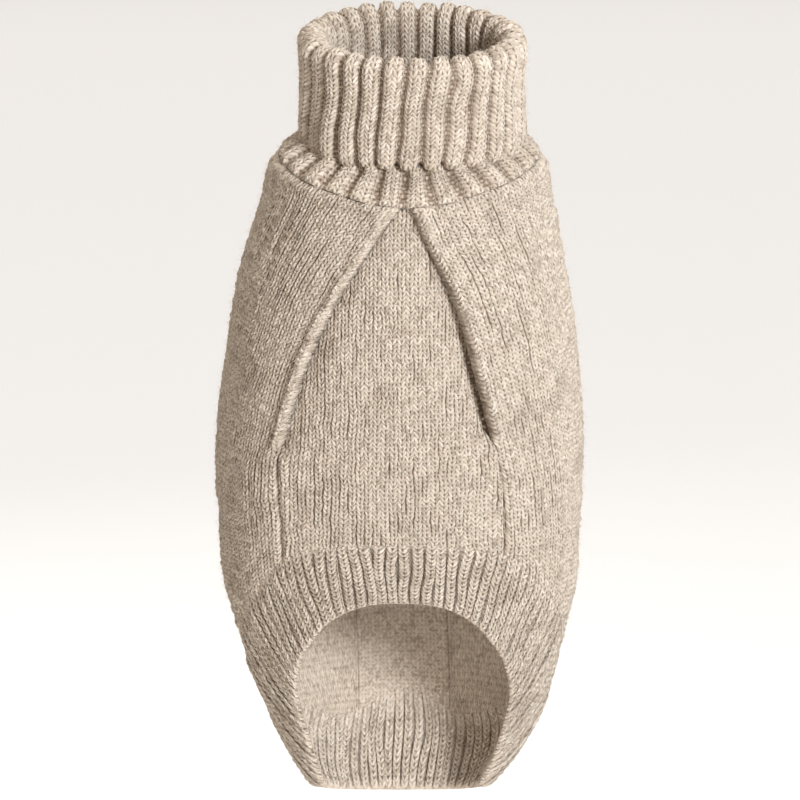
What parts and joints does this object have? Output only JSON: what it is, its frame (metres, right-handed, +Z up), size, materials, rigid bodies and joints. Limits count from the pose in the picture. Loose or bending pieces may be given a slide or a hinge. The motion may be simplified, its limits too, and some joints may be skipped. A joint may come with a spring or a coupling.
{
  "type": "dog sweater",
  "caption": "Knitted dog sweater with a folded ribbed roll neck, two slanting front leg openings, a belly panel and an all-round rib hem, long at the back. Hollow, in its worn shape.",
  "frame": {"origin": "middle of the neck ring, level with the neckline seam at its sides", "axes": "+Z up through the neck, +Y towards the spine, -Y towards the belly, +X to the picture's right (the wearer's left)"},
  "size_m": [0.1649, 0.1112, 0.3729],
  "materials": {
    "neck_rib": "heathered oatmeal wool blend, 2x2 rib",
    "body_knit": "heathered oatmeal wool blend, stockinette, slightly fuzzy",
    "hem_rib": "heathered oatmeal wool blend, fine rib"
  },
  "bodies": {
    "root": {"roll_neck": "neck_rib", "belly_panel": "body_knit", "side_panel_left": "body_knit", "side_panel_right": "body_knit", "back_panel": "body_knit", "hem_band": "hem_rib"}
  },
  "joints": []
}
